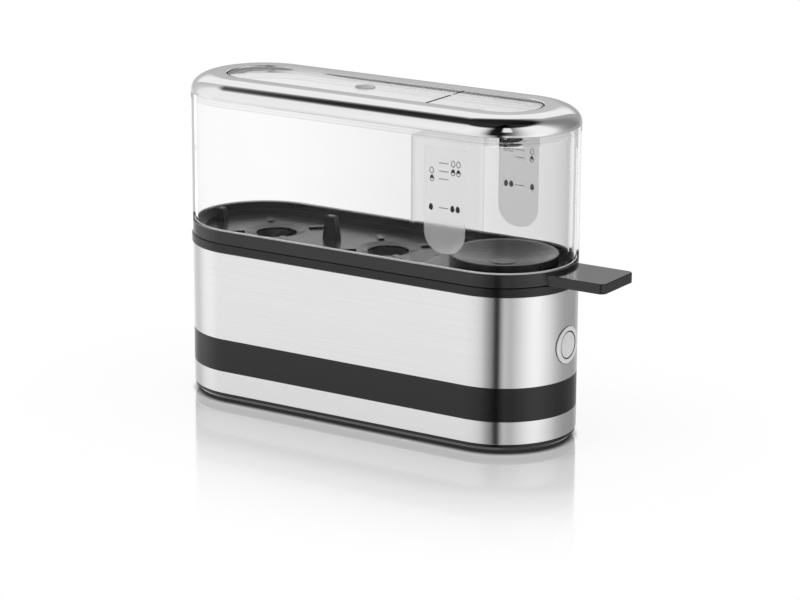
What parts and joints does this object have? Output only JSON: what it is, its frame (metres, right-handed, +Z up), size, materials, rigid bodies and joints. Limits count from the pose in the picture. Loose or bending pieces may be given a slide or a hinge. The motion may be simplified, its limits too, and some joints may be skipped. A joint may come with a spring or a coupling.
{
  "type": "electric egg cooker",
  "caption": "Slim countertop egg cooker with an obround steel body, a clear lift-off hood under a chromed crown, an egg tray with a side handle and a push button.",
  "frame": {"origin": "on the table, under the middle of the whole outline with its handle", "axes": "+X along the body towards the handle and the button, -Y out of the front, +Z up"},
  "size_m": [0.2079, 0.0632, 0.141],
  "materials": {
    "black_plastic": "satin moulded plastic",
    "tray_plastic": "glossy moulded plastic",
    "brushed_steel": "brushed along the body",
    "bowl_steel": "pressed, satin",
    "crown_chrome": "polished",
    "clear_plastic": "clear moulded plastic",
    "cup_plastic": "clear moulded plastic with frosted scale panels",
    "button_metal": "satin plated",
    "foot_rubber": "matte",
    "gasket_rubber": "silicone",
    "gland_rubber": "matte",
    "cast_aluminium": "cast",
    "element_steel": "heat tinted sheath",
    "zinc_steel": "zinc plated",
    "screw_steel": "plated",
    "fuse_can": "plain",
    "switch_plastic": "moulded",
    "board_laminate": "solder resist",
    "buzzer_plastic": "moulded",
    "block_plastic": "moulded",
    "brown_insulation": "wire insulation",
    "blue_insulation": "wire insulation",
    "pick_steel": "ground pin"
  },
  "bodies": {
    "base": {"base_plate": "black_plastic", "foot_front_left": "foot_rubber", "foot_front_right": "foot_rubber", "foot_back_left": "foot_rubber", "foot_back_right": "foot_rubber", "base_screws": "screw_steel", "lower_steel_band": "brushed_steel", "chassis": "black_plastic", "upper_steel_shell": "brushed_steel", "top_rim": "black_plastic", "cord_gland": "gland_rubber", "heating_bowl": "bowl_steel", "bowl_gasket": "gasket_rubber", "heater_plate": "cast_aluminium", "heating_element": "element_steel", "heater_strap_left": "zinc_steel", "heater_strap_right": "zinc_steel", "strap_screws": "screw_steel", "bowl_nuts": "screw_steel", "thermostat": "fuse_can", "thermostat_screws": "screw_steel", "thermal_fuse": "fuse_can", "button_bezel": "button_metal", "button_spring": "screw_steel", "switch_housing": "switch_plastic", "switch_bracket": "zinc_steel", "bracket_screws": "screw_steel", "circuit_board": "board_laminate", "buzzer": "buzzer_plastic", "board_screws": "screw_steel", "terminal_block": "block_plastic", "live_wire": "brown_insulation", "switch_wire": "brown_insulation", "thermostat_wire": "brown_insulation", "neutral_wire": "blue_insulation"},
    "tray": {"egg_tray": "tray_plastic"},
    "hood": {"hood_shell": "clear_plastic", "chrome_ring": "crown_chrome"},
    "cup": {"measuring_cup": "cup_plastic", "egg_pick": "pick_steel"},
    "button": {"button_cap": "button_metal"}
  },
  "joints": [
    {"name": "tray_lift", "type": "slide", "parent": "base", "child": "tray", "axis": [0, 0, 1], "range_m": [0, 0.06]},
    {"name": "hood_lift", "type": "slide", "parent": "tray", "child": "hood", "axis": [0, 0, 1], "range_m": [0, 0.16]},
    {"name": "cup_lift", "type": "slide", "parent": "tray", "child": "cup", "axis": [0, 0, 1], "range_m": [0, 0.08]},
    {"name": "button_press", "type": "slide", "parent": "base", "child": "button", "axis": [-1, 0, 0], "range_m": [0, 0.002], "stiffness_N_per_m": 300, "springref_m": -0.003, "deforming": ["button_spring"]}
  ],
  "couplings": [
    {"joint": "cup_lift", "follows": "hood_lift", "ratio": 0.5}
  ]
}
